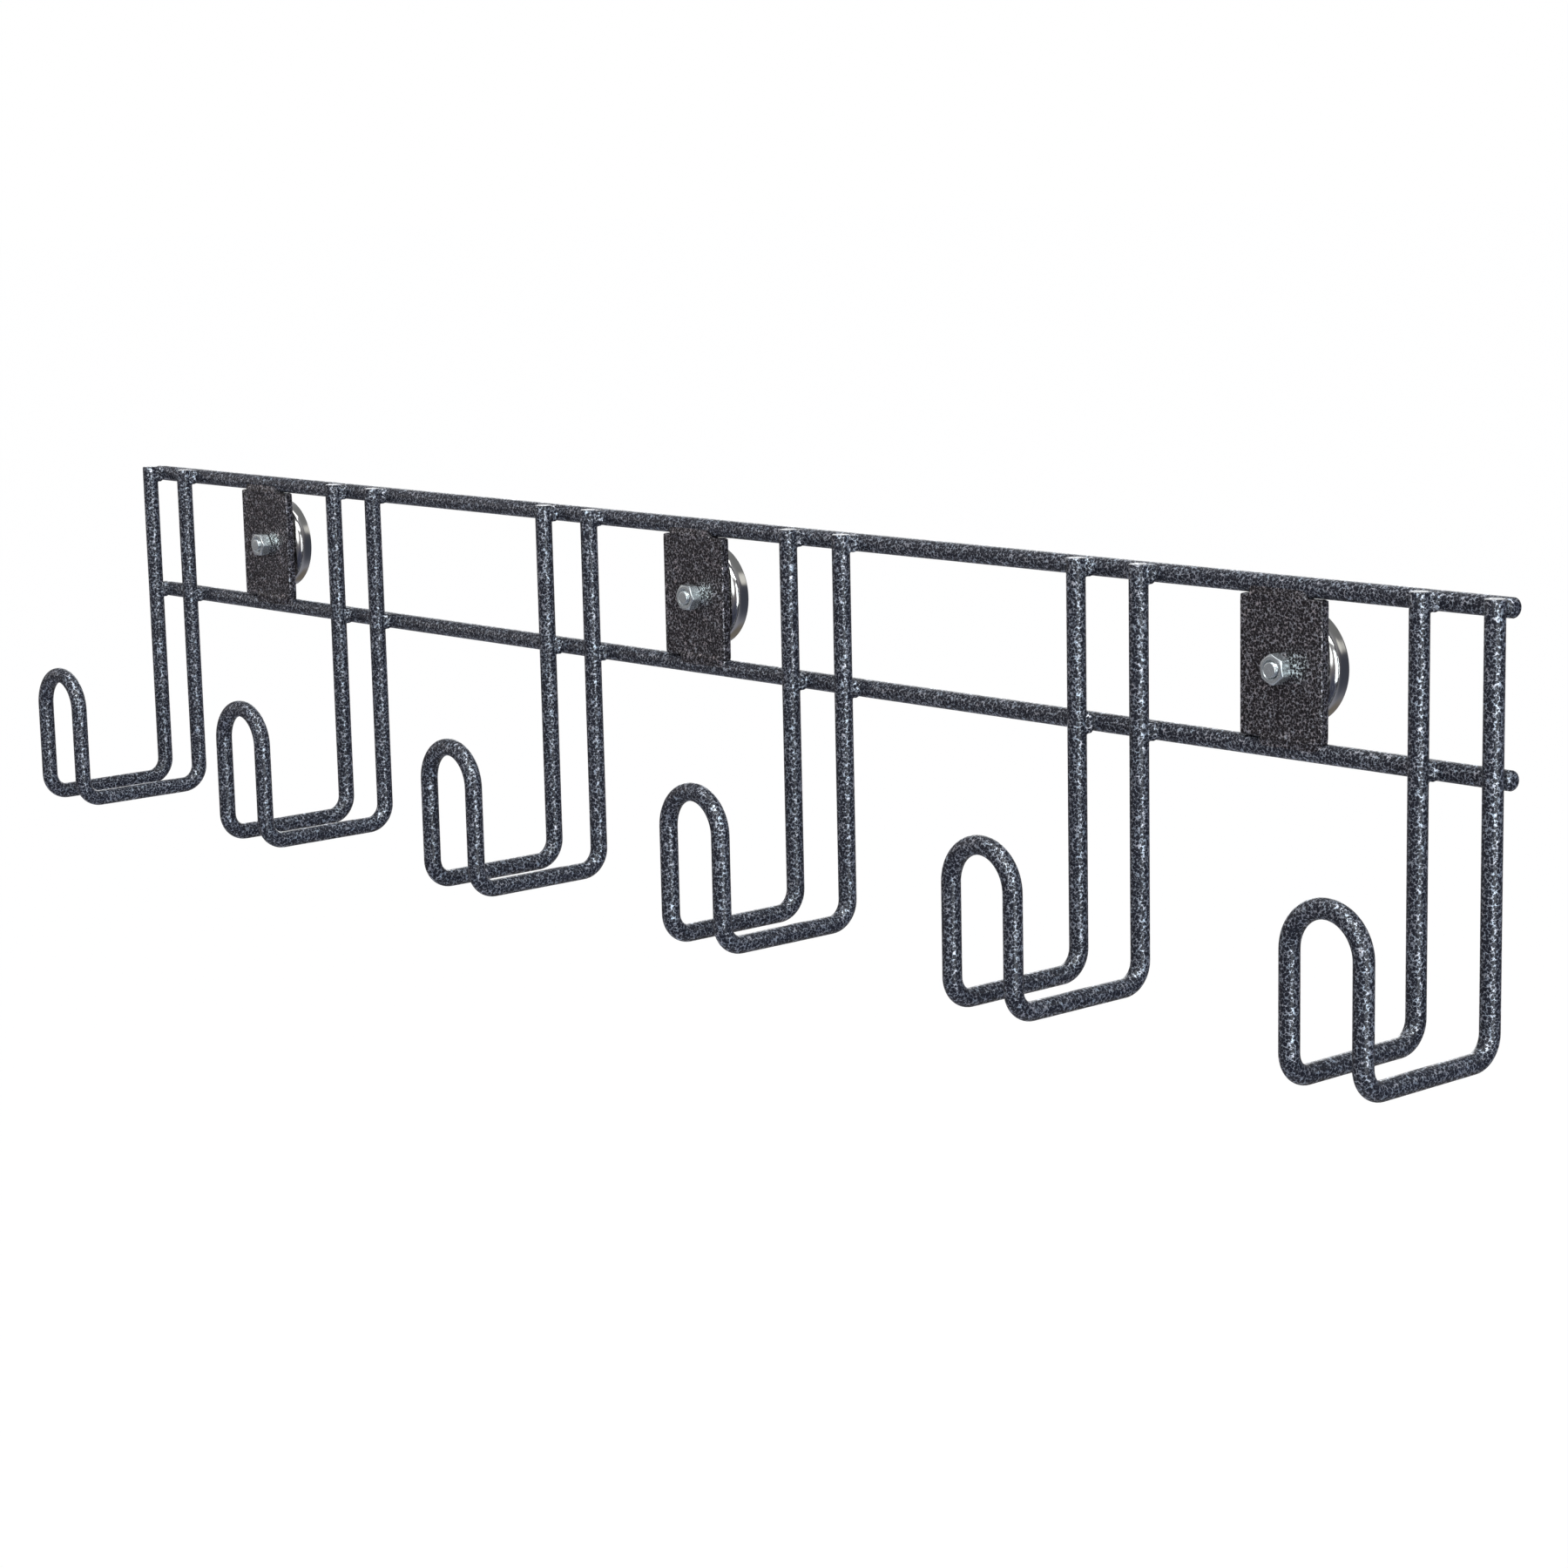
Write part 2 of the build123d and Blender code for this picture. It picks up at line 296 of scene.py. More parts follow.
def sintered_ferrite(name):
    """Dull charcoal with grains and a few light scuffs."""
    t = new_material(name)
    point = t.point_mm()
    grain = t.noise(point, scale=4.5, detail=4.0, rough=0.65)
    cloud = t.noise(point, scale=0.25, detail=3.0, rough=0.6)
    scuff = t.noise(point, scale=0.9, detail=4.0, rough=0.7)
    scuff = t.ramp(scuff, start=0.62, end=0.72)
    dark, pale = (0.022, 0.022, 0.025, 1), (0.060, 0.060, 0.066, 1)
    scuff_strength, scuff_colour = 0.5, (0.14, 0.14, 0.145, 1)
    base = t.mix(grain, dark, pale)
    surface = {
        "Base Color": t.mix(t.math("MULTIPLY", scuff, scuff_strength), base, scuff_colour),
        "Metallic": 0.1,
        "Roughness": t.plus_scaled(0.5, cloud, gain=0.25),
        "Normal": t.bump(grain, strength=0.5, distance=0.00008),
    }
    return t.finish(t.add("ShaderNodeBsdfPrincipled", surface))


def pale_paper(name):
    """Evenly white to the camera, softly mottled to everything else."""
    t = new_material(name)
    point = t.point_mm()
    mottle = t.noise(point, scale=0.004)
    ripple = t.noise(point, scale=0.05)
    surface = {
        "Base Color": t.mix(mottle, (0.90, 0.90, 0.90, 1), (0.93, 0.93, 0.93, 1)),
        "Roughness": t.plus_scaled(0.75, mottle, gain=0.1),
        "Normal": t.add("ShaderNodeBump", {"Strength": 0.05, "Height": ripple}),
    }
    paper = t.add("ShaderNodeBsdfPrincipled", surface)
    glow = t.add("ShaderNodeEmission", {"Color": (1, 1, 1, 1)})
    camera_ray = t.add("ShaderNodeLightPath").outputs["Is Camera Ray"]
    glow_share = t.math("MULTIPLY", camera_ray, 0.985)
    return t.finish(t.add("ShaderNodeMixShader", {0: glow_share, 1: paper, 2: glow}))


# One powder coat in two tinted copies. Besides the coat's own near-black and silver, the rods' copy
# is tinted bluer and the plates' copy warmer and darker: painted light, standing for the cool key
# light on the rods and the warm, dim light on the plates.
COAT = silver_vein(
    "silver_vein_coat",
    cell=(0.0026, 0.0034, 0.0066, 1),
    vein=(0.55, 0.59, 0.65, 1),
    cell_size=1.28,
)
# painted warm shade: the plates' copy of the coat, which also has its own cell size
PLATE_COAT_WARM_SHADE = silver_vein(
    "silver_vein_plate_warm_shade",
    cell=(0.0022, 0.0016, 0.0022, 1),
    vein=(0.54, 0.52, 0.545, 1),
    cell_size=1.17,
    # painted glints, standing in for each nut's reflected light on the plate to its right
    painted_glints=[(x + 8.6, 1.5, 6.0, 6.5) for x in STATIONS.values()],  # right of each nut
)
NICKEL = plated(
    "nickel_plate",
    colour=(0.56, 0.55, 0.53, 1),
    rough=0.08,
    wear=0.12,
    metal=1.0,
    bump_strength=0.25,
)
ZINC = plated(
    "zinc_plate",
    colour=(0.60, 0.64, 0.64, 1),
    rough=0.17,
    wear=0.14,
    metal=0.90,
    bump_strength=0.5,
)
FERRITE = sintered_ferrite("ferrite")


# ---- mesh helpers -------------------------------------------------------------------------
def piece(name, mesh, material, node, sharp=None):
    """Make a smooth-shaded object from (verts in mm, faces); sharp is an angle in degrees."""
    verts, faces = mesh
    data = bpy.data.meshes.new(name)
    data.from_pydata((np.asarray(verts, float) * MM).tolist(), [], faces)
    data.validate()
    data.materials.append(material)
    data.polygons.foreach_set("use_smooth", [True] * len(data.polygons))
    if sharp:
        data.set_sharp_from_angle(angle=math.radians(sharp))
    data.update()
    ob = bpy.data.objects.new(name, data)
    bpy.context.scene.collection.objects.link(ob)
    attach(ob, "root")
    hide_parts(node)


def loft(rings, closed=False, flip=False):
    """Skin over equal rings: closed joins last to first, otherwise both ends get a fan."""
    count = len(rings[0])
    verts = np.vstack(rings).tolist()
    faces = []
    for i in range(len(rings) if closed else len(rings) - 1):
        a = i * count
        b = (i + 1) % len(rings) * count
        for j in range(count):
            j2 = (j + 1) % count
            faces.append((a + j, a + j2, b + j2, b + j))
    if not closed:
        for end in (0, len(rings) - 1):
            start, centre = end * count, len(verts)
            verts.append(np.asarray(rings[end]).mean(0).tolist())
            for j in range(count):
                here, after = start + j, start + (j + 1) % count
                faces.append((centre, after, here) if end == 0 else (centre, here, after))
    if flip:
        faces = [face[::-1] for face in faces]
    return verts, faces


def merge(meshes):
    """One mesh of several, whose faces are arrays of quads."""
    verts, faces, total = [], [], 0
    for part_verts, part_faces in meshes:
        verts.append(part_verts)
        faces.extend((part_faces + total).tolist())
        total += len(part_verts)
    return np.vstack(verts), faces


def around(count):
    return np.linspace(0, 2 * math.pi, count, endpoint=False)


def turned_ring(x, radius, y, angles):
    """Ring about the line along Y through (x, 0); radius and y may vary with the angle."""
    ys = np.broadcast_to(y, angles.shape)
    return np.stack([x + radius * np.cos(angles), ys, radius * np.sin(angles)], 1)


# ---- rods ---------------------------------------------------------------------------------
def tube_rings(path, radius, count, edge):
    """Rings of a round rod along path, its two cut ends rounded over by edge mm."""
    path = np.asarray(path)
    tangents = np.gradient(path, axis=0)
    tangents /= np.linalg.norm(tangents, axis=1)[:, None]
    normal = RIGHT if abs(tangents[0][0]) < 0.9 else BACK
    normals = []
    for tangent in tangents:
        # carry the normal along so that the skin does not twist
        normal = normal - tangent * (normal @ tangent)
        normal /= np.linalg.norm(normal)
        normals.append(normal)
    angles = around(count)
    cosines, sines = np.cos(angles)[:, None], np.sin(angles)[:, None]

    def ring(i, ring_radius, along=0.0):
        side = np.cross(tangents[i], normals[i])
        centre = path[i] + tangents[i] * along
        return centre + ring_radius * (cosines * normals[i] + sines * side)

    def rounding(i, direction):
        """Rings from the cut face inwards, with a flat disc of their own on that face."""
        rings = []
        for degrees in (90, 72, 54, 36, 18):
            a = math.radians(degrees)
            along = direction * edge * (1 - math.sin(a))
            rings.append(ring(i, radius - edge * (1 - math.cos(a)), along))
        disc = [path[i] + (rings[0] - path[i]) * share for share in (0.35, 0.8)]
        return disc + rings

    middle = []
    for i, point in enumerate(path):
        to_end = min(np.linalg.norm(point - path[0]), np.linalg.norm(point - path[-1]))
        if to_end >= edge * 1.001:
            middle.append(ring(i, radius))
    return rounding(0, 1) + middle + rounding(-1, -1)[::-1]


def line(start, end, step=6.0):
    start, end = np.asarray(start, float), np.asarray(end, float)
    count = max(2, int(np.linalg.norm(end - start) / step) + 1)
    return [start + (end - start) * t for t in np.linspace(0, 1, count)]


def arc(centre, start, toward, radius, sweep, count=14):
    """Arc that leaves from direction start and turns through sweep radians to toward."""
    return [
        np.asarray(centre) + radius * (math.cos(a) * start + math.sin(a) * toward)
        for a in np.linspace(0, sweep, count)
    ]


def join(*parts):
    """The parts' points in one path, without the doubled points where they meet."""
    path = []
    for part in parts:
        for point in part:
            if not path or np.linalg.norm(point - path[-1]) > 1e-6:
                path.append(point)
    return path


def half_hook(x):
    """From the sawn top of the back leg at x, down, forward and up to the arch."""
    bend_z = HOOK_BOTTOM + BEND_R
    back_bend, front_bend = LEG_Y - BEND_R, HOOK_FRONT + BEND_R
    return join(
        line((x, LEG_Y, LEG_TOP), (x, LEG_Y, bend_z)),
        arc((x, back_bend, bend_z), BACK, -UP, BEND_R, math.pi / 2),
        line((x, back_bend, HOOK_BOTTOM), (x, front_bend, HOOK_BOTTOM)),
        arc((x, front_bend, bend_z), -UP, -BACK, BEND_R, math.pi / 2),
        line((x, HOOK_FRONT, bend_z), (x, HOOK_FRONT, ARCH_Z)),
    )


for name, z in (("upper_rail", RAIL_Z), ("lower_rail", -RAIL_Z)):
    path = line((-RAIL_HALF, RAIL_Y, z), (RAIL_HALF, RAIL_Y, z), step=8.0)
    rings = tube_rings(path, ROD_R, count=48, edge=2.2)
    piece("rod_" + name, loft(rings), COAT, name)

for number, x in enumerate(HOOK_X, 1):
    path = join(
        half_hook(x - LEG_OFFSET),
        arc((x, HOOK_FRONT, ARCH_Z), -RIGHT, UP, LEG_OFFSET, math.pi, count=36),
        half_hook(x + LEG_OFFSET)[::-1],
    )
    rings = tube_rings(path, ROD_R, count=44, edge=0.7)
    piece(f"rod_hook_{number}", loft(rings), COAT, f"hook_{number}")


# ---- welds, meshed from signed distances --------------------------------------------------
def surface_nets(distance, low, high, step):
    """Quads of distance = 0 in the box low..high (mm); distance takes points (n, 3)."""
    low, high = np.asarray(low, float), np.asarray(high, float)
    size = np.ceil((high - low) / step).astype(int) + 1
    axes = [low[i] + step * np.arange(size[i]) for i in range(3)]
    grid = np.stack(np.meshgrid(*axes, indexing="ij"), -1).reshape(-1, 3)
    values = distance(grid).reshape(size)
    inside = values < 0
    cell_size = size - 1

    def window(offset):
        """The inside flags of every cell's corner at this offset."""
        return inside[tuple(slice(o, o + n) for o, n in zip(offset, cell_size))]

    # a cell crossed by the surface holds one vertex, the mean of its edge crossings
    corners = [(i, j, k) for i in (0, 1) for j in (0, 1) for k in (0, 1)]
    inside_count = sum(window(corner).astype(int) for corner in corners)
    active = (inside_count > 0) & (inside_count < 8)
    cells = np.argwhere(active)
    index = -np.ones(cell_size, int)
    index[active] = np.arange(len(cells))
    total = np.zeros((len(cells), 3))
    crossings = np.zeros(len(cells))
    for a in corners:
        for b in corners:
            if a >= b or sum(p != q for p, q in zip(a, b)) != 1:
                continue
            value_a = values[tuple((cells + a).T)]
            value_b = values[tuple((cells + b).T)]
            cross = (value_a < 0) != (value_b < 0)
            share = np.where(cross, value_a / np.where(cross, value_a - value_b, 1), 0)
            start, end = np.array(a, float), np.array(b, float)
            total += np.where(cross[:, None], start + share[:, None] * (end - start), 0)
            crossings += cross
    verts = low + (cells + total / crossings[:, None]) * step

    # each grid edge that crosses the surface gives a quad of the four cells round it
    quads = []
    unit = np.eye(3, dtype=int)
    for axis in range(3):
        u, v = [other for other in range(3) if other != axis]
        near = window((0, 0, 0))
        edges = np.argwhere(near != window(unit[axis]))
        edges = edges[(edges[:, u] > 0) & (edges[:, v] > 0)]
        loop = (0 * unit[u], unit[u], unit[u] + unit[v], unit[v])
        faces = np.stack([index[tuple((edges - shift).T)] for shift in loop], 1)
        keep = near[tuple(edges.T)]
        if axis == 1:
            keep = ~keep
        faces[~keep] = faces[~keep][:, ::-1]
        quads.append(faces)
    return verts, np.vstack(quads)


def smooth_min(a, b, width):
    h = np.clip(0.5 + 0.5 * (b - a) / width, 0, 1)
    return b + (a - b) * h - width * h * (1 - h)


def capsule(points, start, end, radius):
    start, end = np.asarray(start, float), np.asarray(end, float)
    axis = end - start
    t = np.clip(((points - start) @ axis) / (axis @ axis), 0, 1)
    return np.linalg.norm(points - (start + t[:, None] * axis), axis=1) - radius


def lumps(points, frequency, seed):
    """Cheap smooth noise: a few fixed plane waves."""
    rng = np.random.default_rng(seed)
    height = np.zeros(len(points))
    for _ in range(7):
        wave = rng.normal(size=3)
        wave *= frequency * rng.uniform(0.7, 1.5) / np.linalg.norm(wave)
        height += np.sin(points @ wave + rng.uniform(0, 6.28))
    return height / 7


def crossing_weld(seed, runs_on):
    """Fillet weld of a leg and a rail crossing at x = z = 0.

    runs_on tells for side -1 (left) and 1 (right) whether the rail goes on to that side.
    """
    rng = np.random.default_rng(seed)
    shifts = {side: rng.uniform(-0.3, 0.3, 4) for side in (-1, 1)}
    radius = ROD_R - 0.05

    def distance(p):
        leg = np.hypot(p[:, 0], p[:, 1] - LEG_Y) - radius
        rail = np.hypot(p[:, 1] - RAIL_Y, p[:, 2]) - radius
        for side in (-1, 1):
            if not runs_on[side]:  # ends inside the rail, short of the rail's own end
                rail = np.maximum(rail, side * p[:, 0] - 1.5)
        body = smooth_min(leg, rail, width=1.1)
        for side in (-1, 1):
            if not runs_on[side]:
                continue
            shift_x, shift_y, shift_bottom, shift_top = shifts[side]
            x = side * (ROD_R + shift_x)
            y = RAIL_Y - ROD_R - 0.35 + shift_y
            bottom, top = -2.3 + shift_bottom, 2.3 + shift_top
            bead = capsule(p, (x, y, bottom), (x, y, top), radius=1.75)
            bead += 0.11 * np.sin((p[:, 2] + shift_bottom * 3) * 2.6)
            body = smooth_min(body, bead, width=1.3)
        body += 0.07 * lumps(p, 1.6, seed)
        # closed off inside the rods, well away from what can be seen
        centre, stretch = np.array([0, RAIL_Y - 4.0, 0]), np.array([1.0, 0.85, 1.0])
        hull = np.linalg.norm((p - centre) / stretch, axis=1) - 7.6
        return np.maximum(body, hull)

    low, high = (-8.4, RAIL_Y - 11.0, -8.4), (8.4, RAIL_Y + 3.0, 8.4)
    return surface_nets(distance, low, high, step=0.42)


def crossing_welds(name, z, node, seed):
    """The welds of every leg on the rail at height z."""
    meshes = []
    for i, x in enumerate(LEG_X):
        verts, faces = crossing_weld(seed + i, {-1: i > 0, 1: i < len(LEG_X) - 1})
        if z > 0:  # flatten the weld just below the sawn leg tops
            top = LEG_TOP - z - 0.25
            heights = verts[:, 2]
            verts[:, 2] = np.where(heights > top, top + (heights - top) * 0.02, heights)
        meshes.append((verts + np.array([x, 0, z]), faces))
    piece(name, merge(meshes), COAT, node)


crossing_welds("weld_beads_upper", RAIL_Z, "hook_welds_upper", seed=11)
crossing_welds("weld_beads_lower", -RAIL_Z, "hook_welds_lower", seed=51)


# ---- plates -------------------------------------------------------------------------------
def rounded_rect(width, height, radius, angles):
    """Points (x, z) round a rounded rectangle, placed by their direction from the centre."""
    corner_x, corner_z = width / 2 - radius, height / 2 - radius
    points = []
    for angle in angles:
        c, s = math.cos(angle), math.sin(angle)
        reach = min(width / 2 / max(abs(c), 1e-9), height / 2 / max(abs(s), 1e-9))
        x, z = c * reach, s * reach
        if abs(x) > corner_x and abs(z) > corner_z:  # a corner: project onto its arc
            dx, dz = abs(x) - corner_x, abs(z) - corner_z
            length = math.hypot(dx, dz)
            x = math.copysign(corner_x + dx / length * radius, x)
            z = math.copysign(corner_z + dz / length * radius, z)
        points.append((x, z))
    return np.array(points)


def plate(x, seed):
    """Flat plate with a bolt hole and softened edges, centred on x."""
    angles = around(176)
    circle = np.stack([np.cos(angles), np.sin(angles)], 1)
    edge, corner, hole_bevel = 0.9, 0.9, 0.3
    mouth = circle * (BOLT_HOLE_R + hole_bevel)

    def ring(outline, y):
        return np.stack([outline[:, 0] + x, np.full(len(outline), y), outline[:, 1]], 1)

    def rect(inset):
        radius = max(corner - inset * 0.4, 0.35)
        return rounded_rect(PLATE_W - 2 * inset, PLATE_H - 2 * inset, radius, angles)

    def face_ring(share, y):
        """Ring on a face, share of the way from the hole's mouth to the edge."""
        return ring(mouth * (1 - share) + rect(edge) * share, y)

    def edge_ring(degrees, y, inward):
        a = math.radians(degrees)
        return ring(rect(edge * (1 - math.sin(a))), y + inward * edge * (1 - math.cos(a)))

    rings = [
        ring(circle * BOLT_HOLE_R, PLATE_BACK - hole_bevel),
        ring(circle * BOLT_HOLE_R, PLATE_FRONT + hole_bevel),
        ring(mouth, PLATE_FRONT),
    ]
    rings += [face_ring(share, PLATE_FRONT) for share in (0.12, 0.3, 0.5, 0.7, 0.85, 0.96)]
    rings += [edge_ring(degrees, PLATE_FRONT, 1) for degrees in (0, 22.5, 45, 67.5, 90)]
    rings.append(ring(rect(0), PLATE_MIDDLE))
    rings += [edge_ring(degrees, PLATE_BACK, -1) for degrees in (90, 60, 30, 0)]
    rings += [face_ring(share, PLATE_BACK) for share in (0.96, 0.7, 0.4, 0.12)]
    rings.append(ring(mouth, PLATE_BACK))
    # shallow waviness of the front, fading towards the left and right edges
    for points in rings:
        wave = 0.06 * lumps(points, 0.16, seed)
        fade = np.clip((PLATE_W / 2 - np.abs(points[:, 0] - x)) / 4 + 0.25, 0, 1)
        points[:, 1] += np.where(points[:, 1] < PLATE_MIDDLE, wave * fade, 0)
    return loft(rings, closed=True, flip=True)


def seam(rail_z, start, end, seed):
    """Weld run along X from start to end, where a plate meets the rail at rail_z."""
    z = math.copysign(PLATE_H / 2 + 0.7, rail_z)
    y = PLATE_FRONT + 1.75
    sink = 0.06  # how far the weld's own rod and plate lie below the real ones

    def distance(p):
        rail = np.hypot(p[:, 1] - RAIL_Y, p[:, 2] - rail_z) - (ROD_R - sink)
        dz = np.abs(p[:, 2]) - PLATE_H / 2
        dy = np.abs(p[:, 1] - PLATE_MIDDLE) - PLATE_T / 2
        corner = (dz > -sink) & (dy > -sink)
        box = np.where(corner, np.hypot(dz + sink, dy + sink), np.maximum(dz, dy) + sink)
        bead = capsule(p, (start + 2.0, y, z), (end - 2.0, y, z), radius=1.8)
        bead = bead + 0.13 * np.sin(p[:, 0] * 2.1 + 0.8 * np.sin(p[:, 0] * 0.37 + seed))
        # the run only fills while it lasts, so that the bare gap shows past its ends
        t = np.clip((p[:, 0] - start) / 2.2, 0, 1) * np.clip((end - p[:, 0]) / 2.2, 0, 1)
        width = 0.15 + 2.0 * t
        body = smooth_min(smooth_min(rail, box, width * 0.6 + 0.05), bead, width)
        body += 0.10 * lumps(p, 1.1, seed)
        hull = capsule(p, (start + 2.4, y + 0.7, z), (end - 2.4, y + 0.7, z), radius=3.7)
        return np.maximum(body, hull)

    low, high = (start - 2.5, y - 3.6, z - 4.6), (end + 2.5, y + 4.8, z + 4.6)
    return surface_nets(distance, low, high, step=0.45)


for i, (station, x) in enumerate(STATIONS.items()):
    mesh = plate(x, seed=5 + i)
    node = "magnet_plate_" + station
    piece("flat_plate_" + station, mesh, PLATE_COAT_WARM_SHADE, node, sharp=50)

# rail height, then the run's start and end from the plate's left edge
SEAMS = ((RAIL_Z, 4.0, 34.0), (-RAIL_Z, 10.0, 41.0))
seam_meshes = []
for i, x in enumerate(STATIONS.values()):
    for j, (rail_z, start, end) in enumerate(SEAMS):
        seed = 70 + 10 * i + j
        verts, faces = seam(rail_z, start - PLATE_W / 2, end - PLATE_W / 2, seed)
        seam_meshes.append((verts + np.array([x, 0, 0]), faces))
piece("weld_seams_plates", merge(seam_meshes), PLATE_COAT_WARM_SHADE, "plate_welds")


# ---- magnets, bolts and nuts, axes along Y ------------------------------------------------
def lathe(profile, x, count):
    """Closed skin of revolution; profile points are (radius, y)."""
    angles = around(count)
    return loft([turned_ring(x, radius, y, angles) for radius, y in profile], closed=True)


def ellipse(centre_r, centre_y, a, b, start, end, count):
    """Profile points on an elliptic arc, angles in degrees."""
    return [
        (centre_r + a * math.cos(t), centre_y + b * math.sin(t))
        for t in (math.radians(degrees) for degrees in np.linspace(start, end, count))
    ]


def cup_profile():
    outer, inner = CUP_R, CUP_R - CUP_WALL
    width, depth = SHOULDER_WIDTH, SHOULDER_DEPTH
    shoulder_y = CUP_FRONT + depth
    return [
        (BOLT_HOLE_R, CUP_FLOOR - 0.2), (BOLT_HOLE_R, CUP_FRONT + 0.25),
        (BOLT_HOLE_R + 0.25, CUP_FRONT),
        (8.0, CUP_FRONT), (12.0, CUP_FRONT), (15.5, CUP_FRONT),
        *ellipse(outer - width - 0.12, shoulder_y, width, depth, 270, 352, 20),
        # a faint step where the shoulder runs into the drawn wall
        (outer - 0.02, shoulder_y + 0.25), (outer, shoulder_y + 0.8),
        (outer, -2.5), (outer, -0.9),
        # rounded lip at the pole face
        *ellipse(outer - 0.45, -0.45, 0.45, 0.45, 0, 90, 5),
        *ellipse(inner + 0.35, -0.35, 0.35, 0.35, 90, 180, 4),
        (inner, -1.2), (inner, shoulder_y),
        *ellipse(inner - width + 0.3, shoulder_y, width - 0.3, depth - CUP_WALL, 0, -90, 8),
        (14.0, CUP_FLOOR), (8.0, CUP_FLOOR), (BOLT_HOLE_R + 0.2, CUP_FLOOR),
    ]


def ferrite_profile():
    outer, inner = RING_OUTER_R, RING_INNER_R
    back, front = -RING_RECESS, CUP_FLOOR
    return [
        (inner + 0.4, back), (12.5, back), (16.0, back), (19.5, back), (outer - 0.5, back),
        *ellipse(outer - 0.5, back - 0.5, 0.5, 0.5, 90, 0, 4)[1:],
        (outer, -3.4),
        *ellipse(outer - 5.7, front + 3.0, 5.7, 3.0, 0, -90, 8),
        (inner + 0.4, front), (inner, front + 0.4), (inner, -4.0), (inner, back - 0.4),
    ]


def thread_rings(x, start, end, radius, angles):
    """Rings of a vee thread from y = start to y = end, ten to a turn."""
    rings = []
    steps = max(4, int(abs(end - start) / THREAD_PITCH * 10))
    for i in range(steps + 1):
        y = start + (end - start) * i / steps
        phase = (y / THREAD_PITCH + angles / (2 * math.pi)) % 1.0
        rise = np.abs(phase * 2 - 1)  # 0 at root, 1 at crest
        rise = np.clip((rise - 0.12) / 0.76, 0, 1)
        rings.append(turned_ring(x, radius - THREAD_DEPTH * (1 - rise), y, angles))
    return rings


def bolt(x):
    """Cross-recessed bolt, its head inside the cup and its tip to the front."""
    angles = around(56)
    crown_y = CUP_FLOOR + HEAD_T
    rounding = 1.7

    def crown_ring(radius):
        """A ring on the head's crown, dropped where it lies in the cross recess."""
        points = turned_ring(x, radius, crown_y - 0.35 * (radius / HEAD_R) ** 2, angles)
        dx, dz = np.abs(points[:, 0] - x), np.abs(points[:, 2])
        across, along = np.minimum(dx, dz), np.maximum(dx, dz)
        drop = np.clip((0.78 - across) / 0.25, 0, 1) * np.clip((3.2 - along) / 0.7, 0, 1)
        points[:, 1] -= 1.9 * drop
        return points

    crown_radii = (0.05, 0.4, 0.75, 1.0, 1.3, 1.7, 2.1, 2.5, 2.8, 3.1, 3.4, 3.8, 4.3)
    rounded_edge = [
        (HEAD_R - rounding + rounding * math.cos(a), crown_y - 2.05 + rounding * math.sin(a))
        for a in map(math.radians, (75, 55, 35, 15, 0))
    ]
    # (radius, y) points
    underside = [
        (HEAD_R, CUP_FLOOR + 0.35), (HEAD_R - 0.25, CUP_FLOOR + 0.02),
        (BOLT_R + 0.5, CUP_FLOOR + 0.02), (BOLT_R, CUP_FLOOR - 0.3),
    ]
    tip = [
        (BOLT_R - 0.16, BOLT_TIP + 0.62), (BOLT_R - 0.10, BOLT_TIP + 0.48),
        (BOLT_R - 0.12, BOLT_TIP + 0.30), (BOLT_R - 0.20, BOLT_TIP + 0.14),
        (BOLT_R - 0.36, BOLT_TIP + 0.03), (BOLT_R - 0.55, BOLT_TIP),
        (1.6, BOLT_TIP), (0.6, BOLT_TIP),
    ]
    rings = [crown_ring(radius) for radius in crown_radii]
    rings += [turned_ring(x, radius, y, angles) for radius, y in rounded_edge + underside]
    rings += thread_rings(x, THREAD_START, BOLT_TIP + 0.75, BOLT_R - 0.03, angles)
    rings += [turned_ring(x, radius, y, angles) for radius, y in tip]
    return loft(rings, flip=True)


def nut(x, turn):
    """Chamfered hex nut on the front of the plate."""
    angles = around(144)
    # angle 0 is a corner before the turn; the corners are slightly blunted
    flats = NUT_HALF_FLATS / np.cos(angles % (math.pi / 3) - math.pi / 6)
    flats = np.minimum(flats, NUT_HALF_FLATS / math.cos(math.pi / 6) - 0.16)
    face = NUT_HALF_FLATS * 0.955  # radius of the flat end faces
    chamfer = np.clip((flats - face) * math.tan(math.radians(30)), 0, None)
    halfway = face + (flats - face) * 0.5
    bore = BOLT_R - 0.35
    back, front = PLATE_FRONT, PLATE_FRONT - NUT_T
    # (radius, y), from the bore over the front face and the flats to the back face
    profile = [
        (bore, front + 1.25), (bore + 0.42, front + 0.95), (bore + 1.16, front + 0.10),
        (bore + 1.28, front + 0.01), (bore + 1.45, front),
        ((bore + 1.45 + face) / 2, front), (face - 0.12, front), (face + 0.02, front + 0.03),
        (halfway, front + chamfer * 0.5 + 0.03), (flats - 0.07, front + chamfer - 0.01),
        (flats, front + chamfer + 0.10), (flats, front + chamfer + 0.6),
        (flats, (back + front) / 2),
        (flats, back - chamfer - 0.6), (flats, back - chamfer - 0.10),
        (flats - 0.07, back - chamfer + 0.01), (halfway, back - chamfer * 0.5),
        (face, back), (bore + 0.8, back), (bore, back - 0.6),
    ]
    turned = angles - math.radians(turn)
    return loft([turned_ring(x, radius, y, turned) for radius, y in profile], closed=True)


